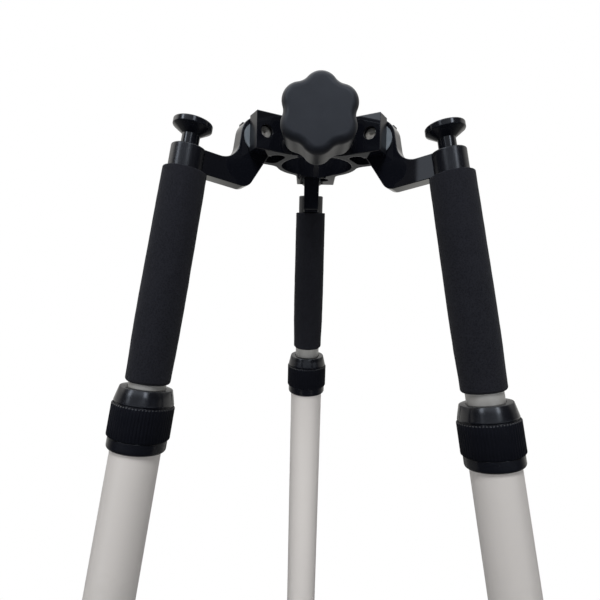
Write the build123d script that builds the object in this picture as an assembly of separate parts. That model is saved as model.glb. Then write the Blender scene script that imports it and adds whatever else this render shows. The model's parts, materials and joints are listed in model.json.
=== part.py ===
from build123d import *
from math import acos, atan2, cos, degrees, hypot, pi, radians, sin, sqrt
import os

# Prism pole tripod. Millimetres, +Z up along the pole. The origin is on the pole
# axis at half the height of the head. The clamp knob faces -Y, the legs stand at
# 210, 330 and 90 degrees round the head's own centre.

# Fits between pieces
RUNNING_GAP = 0.05      # radial, shaft in its hole
SLIDING_GAP = 0.1       # radial, long sliding and threaded pieces
BOND_GAP = 0.05         # radial, glued or pressed pieces
FACE_GAP = 0.2          # between flat faces that pass each other
FREE_GAP = 0.3          # radial, pieces that must not rub
CUT_OVERRUN = 1.0       # cuts run this far past the face that they open
NEAR = 1e-3             # two places closer than this are the same

# Head
HEAD_HEIGHT = 26.2
BORE_RADIUS = 27.0
HEAD_WALL = 4.5
POLE_RADIUS = 16.0
SADDLE_DEPTH = 4.0      # how far the saddle bites behind the bore
TAB_ROOT_FILLET = 9.0
TAB_END_MARGIN = 7.8    # tab beyond the pivot axis
HEAD_CHAMFER = 0.5
THICK_EAR = 12.0
THIN_EAR = 5.5
RELIEF_LENGTH = 22.0    # oval relief at the inner end of each slot
RELIEF_WIDTH = 11.0
RELIEF_WALL = 3.5       # metal between the pole opening and the relief
SLOT_END_GAP = 1.0      # between the arm's eye and the end of its slot
BOSS_RADIUS = 11.0      # threaded boss for the clamp screw
BOSS_REACH = 7.0        # boss face beyond the bore wall

# Leg hinges
PIVOT_STANDOFF = 23.0   # pivot axis beyond the bore wall
BOLT_RADIUS = 4.45
BOLT_HEAD_RADIUS = 6.0
BOLT_HEAD_HEIGHT = 4.0
BOLT_END_RECESS = 2.5   # bolt end below the face of the thick ear
HEX_RADIUS = 3.5        # across the corners of the hexagon socket
HEX_DEPTH = 2.5
WASHER_RADIUS = 10.6
WASHER_OUT = 1.1        # washers hang loose on the bolt, off its axis
WASHER_DROP = 1.2
WASHER_THICKNESS = 1.0

# Hinge arm, in the plane of the leg with the pivot as its centre
ARM_THICKNESS = 13.0
EYE_RADIUS = 13.4
LEG_OFFSET = 45.55      # leg axis from the pivot axis
ARM_DROP = 38.9         # foot of the leg cap below the pivot
LIMB_FOOT_STEP = 0.6    # limb above the foot of the cap
ARM_HEEL = 2.0          # corner of the heel from the pivot, outward
HEEL_RADIUS = 8.0
ELBOW_RADIUS = 12.0
ARM_CHAMFER = 0.3
CAP_HEIGHT = 16.7
CAP_INSET = 0.3         # cap inside the outside of its tube, radial
CAP_EDGE = 1.0
SPIGOT_LENGTH = 25.0

# Thumb release
BUTTON_RADIUS = 13.2
BUTTON_RIM = 4.0
BUTTON_CROWN = 1.0
BUTTON_CONE = 5.0
BUTTON_EDGE = 0.9
STEM_RADIUS = 6.0
STEM_SHOWN = 8.7        # stem between the cap and the cone of the button
COLLAR_RADIUS = 8.0     # shoulder that stops the button under the cap
COLLAR_HEIGHT = 3.0
ROD_RADIUS = 3.0
ROD_SOCKET = 12.0       # depth of the rod in the stem and in the cone
SPRING_WIRE = 1.2
SPRING_TURNS = 4
SEAT_HEIGHT = 3.0

# Tubes and grip
UPPER_TUBE_RADIUS = 12.0
UPPER_TUBE_WALL = 1.5
UPPER_TUBE_LENGTH = 830.0
GRIP_LENGTH = 141.5
GRIP_WALL = 3.05
GRIP_TOP_EDGE = 1.0
GRIP_EDGE = 2.5
LOWER_TUBE_RADIUS = 16.0
LOWER_TUBE_WALL = 2.0
BRAKE_TO_FERRULE = 90.0  # free bore under the brake when the leg is closed

# Brake at the foot of the upper tube
BRAKE_SPIGOT = 25.0
BRAKE_FLANGE = 8.0
SHOE_LENGTH = 18.0
SHOE_WALL_TOP = 6.5
SHOE_WALL_BOTTOM = 4.0
SHOE_COUNT = 3
SHOE_SPLIT = 20.0       # degrees between two shoes

# Twist lock
GRIP_TO_NUT = 3.0       # upper tube that shows between grip and nut on a closed leg
NUT_LIP = 1.5
NUT_TOP_WALL = 2.1      # nut over the collet
NUT_WALL = 2.15         # gripping band over the thread
NUT_CONE_HEIGHT = 10.7
NUT_CONE_STEP = 0.7     # foot of the smooth cone inside the band, radial
NUT_GROOVE_WIDTH = 0.8
NUT_GROOVE_DEPTH = 0.8
KNURL_LENGTH = 21.2
KNURL_CHAMFER = 0.6
COLLET_HEIGHT = 10.0
COLLET_WALL = 2.3
COLLET_SPLIT = 1.5
SLEEVE_WALL = 1.6
RING_WALL = 2.65
RING_HEIGHT = 7.7
RING_EDGE = 2.2
NUT_TO_RING = 0.4

# Foot
FERRULE_SPIGOT = 44.0
FERRULE_COLLAR = 12.0
FERRULE_TAPER = 26.0
FERRULE_END_RADIUS = 9.0
POINT_RADIUS = 6.0
POINT_SHANK = 20.0
POINT_LENGTH = 32.0
POINT_SHOULDER = 6.0    # straight part below the ferrule
POINT_TIP_RADIUS = 2.0
POINT_TIP_EDGE = 1.2

# Clamp
KNOB_LOBES = 6
KNOB_RADIUS = 26.1
LOBE_RADIUS = 11.4
VALLEY_RADIUS = 9.2
KNOB_HEIGHT = 30.0
KNOB_EDGE = 5.0
KNOB_DRAFT = 2.5        # degrees, the skirt narrows towards the head
KNOB_TURN = -2.0        # degrees, the star as it stands
KNOB_GAP = 12.0         # knob from the boss when the shoe is free of the pole
KNOB_WALL = 4.0
KNOB_HOLLOW = 14.0
HUB_RADIUS = 10.5
SCREW_RADIUS = 6.0
SCREW_IN_KNOB = 20.0
SCREW_TIP_RADIUS = 4.0
SCREW_TIP_LENGTH = 3.5
SHOE_PAD_RADIUS = 9.0
SHOE_PAD_HEIGHT = 6.0
SHOE_PAD_EDGE = 1.0
POLE_TO_SHOE = 2.5      # free space between pole and shoe as it stands

# Each leg: direction round the head in degrees, side of its thick ear along the pivot axis,
# splay in degrees as it stands, and how far its lower tube is drawn out
AZIMUTH = {"left": 210, "right": 330, "rear": 90}
THICK_SIDE = {"left": 1, "right": -1, "rear": -1}
SPLAY = {"left": 8.7, "right": 9.7, "rear": 9.1}
DRAWN_OUT = {"left": 0.0, "right": 4.8, "rear": 1.4}
LEGS = ("left", "right", "rear")

# Sizes that follow from those above
RING_OUTSIDE = BORE_RADIUS + HEAD_WALL
SADDLE_OFFSET = BORE_RADIUS + SADDLE_DEPTH - POLE_RADIUS
SHOE_FACE = SADDLE_OFFSET - POLE_RADIUS - POLE_TO_SHOE
SLOT_WIDTH = ARM_THICKNESS + 2 * (WASHER_THICKNESS + FACE_GAP)
TAB_WIDTH = THICK_EAR + SLOT_WIDTH + THIN_EAR
ARM_OFFSET = (THICK_EAR - THIN_EAR) / 2
PIVOT_DISTANCE = BORE_RADIUS + PIVOT_STANDOFF
TAB_END = PIVOT_DISTANCE + TAB_END_MARGIN
HINGE_HOLE = BOLT_RADIUS + RUNNING_GAP
WASHER_HOLE = HINGE_HOLE + hypot(WASHER_OUT, WASHER_DROP)
CAP_RADIUS = UPPER_TUBE_RADIUS - CAP_INSET
TUBE_BORE = UPPER_TUBE_RADIUS - UPPER_TUBE_WALL
LOWER_BORE = LOWER_TUBE_RADIUS - LOWER_TUBE_WALL
GRIP_RADIUS = UPPER_TUBE_RADIUS + GRIP_WALL
SLEEVE_BORE = LOWER_TUBE_RADIUS + BOND_GAP
THREAD_RADIUS = SLEEVE_BORE + SLEEVE_WALL
RING_RADIUS = SLEEVE_BORE + RING_WALL
COLLET_TOP_RADIUS = UPPER_TUBE_RADIUS + SLIDING_GAP + COLLET_WALL
NUT_TOP_RADIUS = COLLET_TOP_RADIUS + FREE_GAP + NUT_TOP_WALL
KNURL_RADIUS = THREAD_RADIUS + SLIDING_GAP + NUT_WALL
NUT_CONE_RADIUS = KNURL_RADIUS - NUT_CONE_STEP

# Stations along a leg, counted downward from the pivot
CAP_TOP = ARM_DROP - CAP_HEIGHT
STEM_END = ARM_DROP + FACE_GAP + COLLAR_HEIGHT
SEAT_TOP = ARM_DROP + SPIGOT_LENGTH
GRIP_TOP = ARM_DROP + FACE_GAP
NUT_TOP = GRIP_TOP + GRIP_LENGTH + GRIP_TO_NUT
KNURL_TOP = NUT_TOP + NUT_CONE_HEIGHT
NUT_END = KNURL_TOP + KNURL_LENGTH
COLLET_TOP = NUT_TOP + NUT_LIP + FREE_GAP
LOWER_TOP = COLLET_TOP + COLLET_HEIGHT
RING_TOP = NUT_END + NUT_TO_RING
UPPER_END = ARM_DROP + UPPER_TUBE_LENGTH
SHOES_TOP = UPPER_END + BRAKE_FLANGE
SHOES_END = SHOES_TOP + SHOE_LENGTH
LOWER_END = SHOES_END + BRAKE_TO_FERRULE + FERRULE_SPIGOT
TAPER_TOP = LOWER_END + FERRULE_COLLAR
FERRULE_END = TAPER_TOP + FERRULE_TAPER


def turned(*profile):
    """Turned solid about the leg axis from (radius, station) corners."""
    corners = [(radius, -station) for radius, station in profile]
    face = Plane.XZ * make_face(Polyline(*corners, close=True))
    return revolve(face, Axis.Z)


def tube(outer, inner, top, end):
    """Plain tube on the leg axis between two stations."""
    return turned((inner, top), (outer, top), (outer, end), (inner, end))


def rims(part, radius, station):
    """Round edges of a turned piece at one radius and station."""
    circles = part.edges().filter_by(GeomType.CIRCLE)
    return [e for e in circles if abs(e.radius - radius) < NEAR and abs(e.arc_center.Z + station) < NEAR]


def pivot_frame(leg):
    """Frame at the middle of a tab's pivot axis: X outward, Y along the axis."""
    return Rot(0, 0, AZIMUTH[leg]) * Pos(PIVOT_DISTANCE, 0, 0)


def leg_frame(leg):
    """Frame of a leg: origin at the arm's eye, Z up along the leg."""
    return pivot_frame(leg) * Pos(0, -THICK_SIDE[leg] * ARM_OFFSET, 0) * Rot(0, -SPLAY[leg], 0)


def head_outline():
    """Plan of the head: ring and three tabs with filleted roots."""
    outline = Circle(RING_OUTSIDE)
    for leg in LEGS:
        outline += Rot(0, 0, AZIMUTH[leg]) * Pos(TAB_END / 2, 0, 0) * Rectangle(TAB_END, TAB_WIDTH)
    roots = [v for v in outline.vertices() if abs(Vector(v).length - RING_OUTSIDE) < NEAR]
    return fillet(roots, TAB_ROOT_FILLET)


def clevis_cut(leg):
    """Slot, oval relief and bolt hole that make a tab into a clevis."""
    inner = -EYE_RADIUS - SLOT_END_GAP
    reach = TAB_END_MARGIN + CUT_OVERRUN - inner
    aside = -THICK_SIDE[leg] * ARM_OFFSET
    slot = Pos(inner + reach / 2, aside, 0) * Box(reach, SLOT_WIDTH, 2 * HEAD_HEIGHT)
    set_back = SADDLE_DEPTH if leg == "rear" else 0
    middle = BORE_RADIUS + set_back + RELIEF_WALL + RELIEF_WIDTH / 2 - PIVOT_DISTANCE
    oval = Pos(middle, 0, 0) * Rot(0, 0, 90) * SlotOverall(RELIEF_LENGTH, RELIEF_WIDTH)
    relief = extrude(oval, HEAD_HEIGHT, both=True)
    hole = Rot(90, 0, 0) * Cylinder(HINGE_HOLE, 2 * TAB_WIDTH)
    return pivot_frame(leg) * (slot + relief + hole)


def head_body():
    """Machined head: bore and saddle for the pole, three clevises, screw boss."""
    head = extrude(head_outline(), HEAD_HEIGHT / 2, both=True)
    flat_edges = head.faces().filter_by(Axis.Z).edges()
    head = chamfer(flat_edges, HEAD_CHAMFER)
    boss_face = BORE_RADIUS + BOSS_REACH
    head += Pos(0, -boss_face / 2, 0) * Rot(90, 0, 0) * Cylinder(BOSS_RADIUS, boss_face)
    head -= Cylinder(BORE_RADIUS, 2 * HEAD_HEIGHT)
    head -= Pos(0, SADDLE_OFFSET, 0) * Cylinder(POLE_RADIUS, 2 * HEAD_HEIGHT)
    head -= Pos(0, -boss_face, 0) * Rot(90, 0, 0) * Cylinder(SCREW_RADIUS + SLIDING_GAP, 2 * BORE_RADIUS)
    for leg in LEGS:
        head -= clevis_cut(leg)
    return head


def pivot_bolt(leg):
    """Socket-head hinge bolt, threaded into the thick ear."""
    tip = TAB_WIDTH / 2 - BOLT_END_RECESS
    under_head = -TAB_WIDTH / 2
    shank = Pos(0, 0, (tip + under_head) / 2) * Cylinder(BOLT_RADIUS, tip - under_head)
    head = Pos(0, 0, under_head - BOLT_HEAD_HEIGHT / 2) * Cylinder(BOLT_HEAD_RADIUS, BOLT_HEAD_HEIGHT)
    socket = Pos(0, 0, under_head - BOLT_HEAD_HEIGHT) * extrude(RegularPolygon(HEX_RADIUS, 6), HEX_DEPTH)
    along = Rot(-90 * THICK_SIDE[leg], 0, 0)
    return pivot_frame(leg) * along * (shank + head - socket)


def pivot_washers(leg):
    """Nylon washers on both faces of an arm's eye."""
    disc = Cylinder(WASHER_RADIUS, WASHER_THICKNESS) - Cylinder(WASHER_HOLE, 2 * WASHER_THICKNESS)
    upright = Rot(90, 0, 0) * disc
    seat = SLOT_WIDTH / 2 - WASHER_THICKNESS / 2
    middle = -THICK_SIDE[leg] * ARM_OFFSET
    hung = pivot_frame(leg) * Pos(WASHER_OUT, middle, -WASHER_DROP)
    return [hung * Pos(0, side * seat, 0) * upright for side in (-1, 1)]


def arm_outline():
    """Side view of the cranked arm: eye, heel, elbow and limb, level with the top of the cap."""
    heel = Vector(ARM_HEEL, LIMB_FOOT_STEP - ARM_DROP)
    turn = atan2(heel.Y, heel.X) - acos(EYE_RADIUS / heel.length)
    tangent = (EYE_RADIUS * cos(turn), EYE_RADIUS * sin(turn))
    elbow = (EYE_RADIUS, -CAP_TOP)
    corners = [(LEG_OFFSET, -CAP_TOP), (LEG_OFFSET, heel.Y), (heel.X, heel.Y), tangent,
               (0, 0), (EYE_RADIUS, 0), elbow]
    plate = make_face(Polyline(*corners, close=True)) + Circle(EYE_RADIUS)
    plate = fillet(plate.vertices().sort_by_distance(elbow)[0], ELBOW_RADIUS)
    return fillet(plate.vertices().sort_by_distance(heel)[0], HEEL_RADIUS)


def hinge_arm():
    """Arm, leg cap and tube spigot in one piece, bored for the bolt and the button."""
    plate = extrude(Plane.XZ * arm_outline(), ARM_THICKNESS / 2, both=True)
    plate = chamfer(plate.faces().filter_by(Axis.Y).edges(), ARM_CHAMFER)
    cap = tube(CAP_RADIUS, 0, CAP_TOP, ARM_DROP)
    cap = fillet(rims(cap, CAP_RADIUS, CAP_TOP), CAP_EDGE)
    spigot = tube(TUBE_BORE - BOND_GAP, 0, ARM_DROP, ARM_DROP + SPIGOT_LENGTH)
    stem_bore = tube(STEM_RADIUS + RUNNING_GAP, 0, CAP_TOP - CUT_OVERRUN, ARM_DROP + CUT_OVERRUN)
    spring_bore = tube(COLLAR_RADIUS + FREE_GAP, 0, ARM_DROP, ARM_DROP + SPIGOT_LENGTH + CUT_OVERRUN)
    arm = plate + Pos(LEG_OFFSET, 0, 0) * (cap + spigot)
    arm -= Pos(LEG_OFFSET, 0, 0) * (stem_bore + spring_bore)
    return arm - Rot(90, 0, 0) * Cylinder(HINGE_HOLE, 2 * ARM_THICKNESS)


def release_button():
    """Mushroom thumb button with a domed top, conical underside, stem and stop collar."""
    cone_end = CAP_TOP - STEM_SHOWN
    rim_end = cone_end - BUTTON_CONE
    rim_top = rim_end - BUTTON_RIM
    top = rim_top - BUTTON_CROWN
    button = turned((0, top), (BUTTON_RADIUS, top), (BUTTON_RADIUS, rim_end), (STEM_RADIUS, cone_end),
                    (STEM_RADIUS, ARM_DROP + FACE_GAP), (COLLAR_RADIUS, ARM_DROP + FACE_GAP),
                    (COLLAR_RADIUS, STEM_END), (0, STEM_END))
    dome_radius = (BUTTON_RADIUS ** 2 + BUTTON_CROWN ** 2) / (2 * BUTTON_CROWN)
    button &= Pos(0, 0, -top - dome_radius) * Sphere(dome_radius)
    button = fillet(rims(button, BUTTON_RADIUS, rim_top) + rims(button, BUTTON_RADIUS, rim_end), BUTTON_EDGE)
    return button - tube(ROD_RADIUS + BOND_GAP, 0, STEM_END - ROD_SOCKET, STEM_END + CUT_OVERRUN)


def release_rod():
    """Rod from the button's stem to the brake cone."""
    return tube(ROD_RADIUS, 0, STEM_END - ROD_SOCKET, SHOES_TOP + ROD_SOCKET)


def return_spring():
    """Coil between the stem's collar and its seat, each half turn a tilted half ring."""
    coil_radius = COLLAR_RADIUS - SPRING_WIRE
    halves = 2 * SPRING_TURNS
    rise = (SEAT_TOP - STEM_END - SPRING_WIRE - 2 * FACE_GAP) / halves
    wire = Plane.XZ * Pos(coil_radius, -rise / 2, 0) * Circle(SPRING_WIRE / 2)
    half_ring = revolve(wire, Axis((0, 0, 0), (rise / 2, 0, coil_radius)), 180)
    lowest = SPRING_WIRE / 2 + FACE_GAP + rise / 2 - SEAT_TOP
    return Part() + [Pos(0, 0, lowest + i * rise) * Rot(0, 0, 180 * i) * half_ring for i in range(halves)]


def spring_seat():
    """Ring glued in the tube under the coil."""
    return tube(TUBE_BORE - BOND_GAP, ROD_RADIUS + FREE_GAP, SEAT_TOP, SEAT_TOP + SEAT_HEIGHT)


def upper_tube():
    return tube(UPPER_TUBE_RADIUS, TUBE_BORE, ARM_DROP, UPPER_END)


def foam_grip():
    """Foam sleeve, its lower edge rounded."""
    grip = tube(GRIP_RADIUS, UPPER_TUBE_RADIUS + BOND_GAP, GRIP_TOP, GRIP_TOP + GRIP_LENGTH)
    grip = fillet(rims(grip, GRIP_RADIUS, GRIP_TOP), GRIP_TOP_EDGE)
    return fillet(rims(grip, GRIP_RADIUS, GRIP_TOP + GRIP_LENGTH), GRIP_EDGE)


def brake_plug():
    """Flanged plug in the end of the upper tube."""
    guide = LOWER_BORE - FREE_GAP
    hole = ROD_RADIUS + FREE_GAP
    spigot = TUBE_BORE - BOND_GAP
    top = UPPER_END - BRAKE_SPIGOT
    return turned((hole, top), (spigot, top), (spigot, UPPER_END), (guide, UPPER_END),
                  (guide, SHOES_TOP), (hole, SHOES_TOP))


def brake_shoes():
    """Shoes round the cone, split evenly round the leg."""
    outer = LOWER_BORE - SLIDING_GAP
    ring = turned((outer - SHOE_WALL_TOP, SHOES_TOP), (outer, SHOES_TOP), (outer, SHOES_END),
                  (outer - SHOE_WALL_BOTTOM, SHOES_END))
    gap_width = 2 * outer * sin(radians(SHOE_SPLIT / 2))
    gap = Pos(outer, 0, -SHOES_TOP - SHOE_LENGTH / 2) * Box(2 * outer, gap_width, 2 * SHOE_LENGTH)
    for index in range(SHOE_COUNT):
        ring -= Rot(0, 0, index * 360 / SHOE_COUNT) * gap
    return ring


def brake_cone():
    """Cone on the rod, wide end down, that spreads the shoes when the spring lifts it."""
    outer = LOWER_BORE - SLIDING_GAP
    top = outer - SHOE_WALL_TOP - FREE_GAP
    end = outer - SHOE_WALL_BOTTOM - FREE_GAP
    cone = turned((0, SHOES_TOP + FACE_GAP), (top, SHOES_TOP + FACE_GAP), (end, SHOES_END), (0, SHOES_END))
    return cone - tube(ROD_RADIUS + BOND_GAP, 0, SHOES_TOP, SHOES_TOP + ROD_SOCKET)


def lock_nut():
    """Twist-lock nut: smooth cone above, grip band below, cone inside over the collet."""
    bore = UPPER_TUBE_RADIUS + FREE_GAP
    thread = THREAD_RADIUS + SLIDING_GAP
    seat_top = COLLET_TOP_RADIUS + FREE_GAP
    groove = NUT_CONE_RADIUS - NUT_GROOVE_DEPTH
    cone_end = KNURL_TOP - NUT_GROOVE_WIDTH
    edge = KNURL_RADIUS - KNURL_CHAMFER
    return turned((bore, NUT_TOP), (NUT_TOP_RADIUS, NUT_TOP), (NUT_CONE_RADIUS, cone_end),
                  (groove, cone_end), (groove, KNURL_TOP), (edge, KNURL_TOP),
                  (KNURL_RADIUS, KNURL_TOP + KNURL_CHAMFER), (KNURL_RADIUS, NUT_END - KNURL_CHAMFER),
                  (edge, NUT_END), (thread, NUT_END), (thread, LOWER_TOP),
                  (seat_top, COLLET_TOP - FREE_GAP), (bore, COLLET_TOP - FREE_GAP))


def lock_collet():
    """Split ring that the nut closes on the upper tube."""
    inner = UPPER_TUBE_RADIUS + SLIDING_GAP
    outer = THREAD_RADIUS - FREE_GAP
    ring = turned((inner, COLLET_TOP), (COLLET_TOP_RADIUS, COLLET_TOP), (outer, LOWER_TOP),
                  (inner, LOWER_TOP))
    reach = outer + CUT_OVERRUN
    split = Pos(reach / 2, 0, -COLLET_TOP - COLLET_HEIGHT / 2) * Box(reach, COLLET_SPLIT, 2 * COLLET_HEIGHT)
    return ring - split


def lock_sleeve():
    """Threaded sleeve glued on the lower tube, with the smooth ring under the nut."""
    ring_end = RING_TOP + RING_HEIGHT
    sleeve = turned((SLEEVE_BORE, LOWER_TOP), (THREAD_RADIUS, LOWER_TOP), (THREAD_RADIUS, RING_TOP),
                    (RING_RADIUS, RING_TOP), (RING_RADIUS, ring_end), (SLEEVE_BORE, ring_end))
    return fillet(rims(sleeve, RING_RADIUS, ring_end), RING_EDGE)


def lower_tube():
    return tube(LOWER_TUBE_RADIUS, LOWER_BORE, LOWER_TOP, LOWER_END)


def foot_ferrule():
    """End fitting: spigot in the lower tube, collar and tapered nose."""
    spigot = LOWER_BORE - BOND_GAP
    top = LOWER_END - FERRULE_SPIGOT
    ferrule = turned((0, top), (spigot, top), (spigot, LOWER_END),
                     (LOWER_TUBE_RADIUS, LOWER_END), (LOWER_TUBE_RADIUS, TAPER_TOP),
                     (FERRULE_END_RADIUS, FERRULE_END), (0, FERRULE_END))
    hole = tube(POINT_RADIUS + BOND_GAP, 0, FERRULE_END - POINT_SHANK, FERRULE_END + CUT_OVERRUN)
    return ferrule - hole


def foot_point():
    """Steel point with a blunt round tip, screwed into the ferrule."""
    tip = FERRULE_END + POINT_LENGTH
    point = turned((0, FERRULE_END - POINT_SHANK), (POINT_RADIUS, FERRULE_END - POINT_SHANK),
                   (POINT_RADIUS, FERRULE_END + POINT_SHOULDER), (POINT_TIP_RADIUS, tip), (0, tip))
    return fillet(rims(point, POINT_TIP_RADIUS, tip), POINT_TIP_EDGE)


def knob_outline():
    """Star of broad lobes and round valleys, all tangent arcs."""
    half = pi / KNOB_LOBES
    centre_distance = KNOB_RADIUS - LOBE_RADIUS
    across = centre_distance * cos(half)
    aside = centre_distance * sin(half)
    valley_distance = across + sqrt((LOBE_RADIUS + VALLEY_RADIUS) ** 2 - aside ** 2)
    arcs = Curve()
    for index in range(KNOB_LOBES):
        towards = Rot(0, 0, 90 + index * 360 / KNOB_LOBES)
        lobe = Vector(centre_distance, 0)
        valley = Vector(valley_distance * cos(half), valley_distance * sin(half))
        touch = lobe + (valley - lobe).normalized() * LOBE_RADIUS
        mirrored = Vector(touch.X, -touch.Y)
        bottom = valley - valley.normalized() * VALLEY_RADIUS
        turn = Rot(0, 0, degrees(2 * half))
        next_touch = (turn * Pos(mirrored)).position
        arcs += towards * ThreePointArc(mirrored, (KNOB_RADIUS, 0), touch)
        arcs += towards * ThreePointArc(touch, bottom, next_touch)
    return make_face(arcs.edges())


def clamp_knob():
    """Star knob with a rounded face, drafted skirt, hollow back and a hub, face towards +Z."""
    star = Rot(0, 0, KNOB_TURN) * knob_outline()
    knob = extrude(Pos(0, 0, KNOB_HEIGHT) * star, KNOB_HEIGHT, dir=(0, 0, -1), taper=KNOB_DRAFT)
    front = knob.faces().sort_by(Axis.Z)[-1]
    knob = fillet(front.edges(), KNOB_EDGE)
    knob -= extrude(offset(star, -KNOB_WALL), KNOB_HOLLOW) - Cylinder(HUB_RADIUS, 2 * KNOB_HOLLOW)
    return knob - Cylinder(SCREW_RADIUS + BOND_GAP, 2 * SCREW_IN_KNOB)


def clamp_screw():
    """Stud from the knob to the shoe, with a thinner tip for the shoe to turn on."""
    tip = KNOB_GAP + BOSS_REACH + BORE_RADIUS + SHOE_FACE - SHOE_PAD_HEIGHT
    body = Pos(0, 0, (SCREW_IN_KNOB - tip) / 2) * Cylinder(SCREW_RADIUS, SCREW_IN_KNOB + tip)
    return body + Pos(0, 0, -tip - SCREW_TIP_LENGTH / 2) * Cylinder(SCREW_TIP_RADIUS, SCREW_TIP_LENGTH)


def clamp_shoe():
    """Round pad on the tip of the screw, its back towards +Z."""
    pad = Pos(0, 0, -SHOE_PAD_HEIGHT / 2) * Cylinder(SHOE_PAD_RADIUS, SHOE_PAD_HEIGHT)
    pad = chamfer(pad.edges().filter_by(GeomType.CIRCLE), SHOE_PAD_EDGE)
    depth = SCREW_TIP_LENGTH + FACE_GAP
    return pad - Pos(0, 0, -depth / 2) * Cylinder(SCREW_TIP_RADIUS + RUNNING_GAP, depth)


# The head's own centre lies in front of the pole axis
HEAD_CENTRE = Pos(0, -SADDLE_OFFSET, 0)
# Knob frame: origin at the back of the knob, Z away from the head
KNOB_FRAME = HEAD_CENTRE * Pos(0, -(BORE_RADIUS + BOSS_REACH + KNOB_GAP), 0) * Rot(90, 0, 0)
SHOE_FRAME = HEAD_CENTRE * Pos(0, SHOE_FACE - SHOE_PAD_HEIGHT, 0) * Rot(90, 0, 0)

UPPER_PIECES = {
    "hinge_arm": hinge_arm(),
    "release_button": release_button(),
    "release_rod": release_rod(),
    "return_spring": return_spring(),
    "spring_seat": spring_seat(),
    "upper_tube": upper_tube(),
    "foam_grip": foam_grip(),
    "brake_plug": brake_plug(),
    "brake_shoes": brake_shoes(),
    "brake_cone": brake_cone(),
}
LOWER_PIECES = {
    "lock_nut": lock_nut(),
    "lock_collet": lock_collet(),
    "lock_sleeve": lock_sleeve(),
    "lower_tube": lower_tube(),
    "foot_ferrule": foot_ferrule(),
    "foot_point": foot_point(),
}


def save(node, shape):
    export_step(shape, f"parts/{node}.step")


os.makedirs("parts", exist_ok=True)
save("head_body", HEAD_CENTRE * head_body())
save("pivot_bolts", Compound(children=[HEAD_CENTRE * pivot_bolt(leg) for leg in LEGS]))
save("pivot_washers", Compound(children=[HEAD_CENTRE * w for leg in LEGS for w in pivot_washers(leg)]))
save("clamp_knob", KNOB_FRAME * clamp_knob())
save("clamp_screw", KNOB_FRAME * clamp_screw())
save("clamp_shoe", SHOE_FRAME * clamp_shoe())
for leg in LEGS:
    arm_place = HEAD_CENTRE * leg_frame(leg)
    upper_place = arm_place * Pos(LEG_OFFSET, 0, 0)
    lower_place = upper_place * Pos(0, 0, -DRAWN_OUT[leg])
    for piece, shape in UPPER_PIECES.items():
        save(f"{leg}_{piece}", (arm_place if piece == "hinge_arm" else upper_place) * shape)
    for piece, shape in LOWER_PIECES.items():
        save(f"{leg}_{piece}", lower_place * shape)
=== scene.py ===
import json
from math import atan2, cos, floor, pi, radians, sin, tau

import bpy
from mathutils import Matrix, Vector, noise


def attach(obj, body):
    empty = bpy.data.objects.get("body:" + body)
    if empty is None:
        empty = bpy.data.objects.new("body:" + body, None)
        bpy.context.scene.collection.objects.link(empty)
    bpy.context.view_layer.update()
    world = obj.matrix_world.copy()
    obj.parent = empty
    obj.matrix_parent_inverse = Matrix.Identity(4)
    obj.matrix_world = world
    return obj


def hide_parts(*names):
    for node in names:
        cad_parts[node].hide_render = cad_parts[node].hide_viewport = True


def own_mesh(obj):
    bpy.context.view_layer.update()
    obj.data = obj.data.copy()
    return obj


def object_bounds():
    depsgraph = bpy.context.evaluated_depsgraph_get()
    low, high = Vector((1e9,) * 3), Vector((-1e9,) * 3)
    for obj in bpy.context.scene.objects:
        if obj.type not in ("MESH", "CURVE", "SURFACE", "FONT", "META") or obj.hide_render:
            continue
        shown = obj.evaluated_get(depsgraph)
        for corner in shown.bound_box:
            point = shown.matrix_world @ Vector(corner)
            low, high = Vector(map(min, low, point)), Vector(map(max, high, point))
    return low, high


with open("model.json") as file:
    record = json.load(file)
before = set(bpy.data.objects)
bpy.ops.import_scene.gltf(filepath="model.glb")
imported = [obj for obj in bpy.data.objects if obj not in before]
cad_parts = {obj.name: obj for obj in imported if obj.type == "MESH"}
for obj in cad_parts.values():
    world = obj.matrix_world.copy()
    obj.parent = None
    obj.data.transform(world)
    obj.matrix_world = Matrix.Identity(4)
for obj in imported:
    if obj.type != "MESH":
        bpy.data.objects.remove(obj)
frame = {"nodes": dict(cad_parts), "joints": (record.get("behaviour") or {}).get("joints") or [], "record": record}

cad_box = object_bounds()

# Prism pole tripod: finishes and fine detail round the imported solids
MM = 0.001  # lengths of pieces are millimetres until a mesh is made
LEGS = ("left", "right", "rear")
THICK_EAR_SIDE = {"left": 1, "right": -1, "rear": -1}
RIGHTWARD = (1, 0, 0)
BACKWARD = (0, 1, 0)
UPWARD = (0, 0, 1)
WHITE = (1, 1, 1)

# Sizes that the pieces share with the solids
TAB_HALF = 16.45
TAB_END_MARGIN = 7.8
CAP_RADIUS = 11.7
TUBE_RADIUS = 12.0
GRIP_TOP = 39.1
GRIP_END = 180.6
NUT_STATION = 200.0
NUT_TOP = 183.6
KNURL_TOP = 194.3
NUT_END = 215.5
KNURL_RADIUS = 19.9

# Sockets of the node that mixes colours, and the samples of a rounded edge
MIX_FACTOR, MIX_FIRST, MIX_SECOND, MIX_RESULT = 0, 6, 7, 2
BEVEL_SAMPLES = 6


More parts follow.
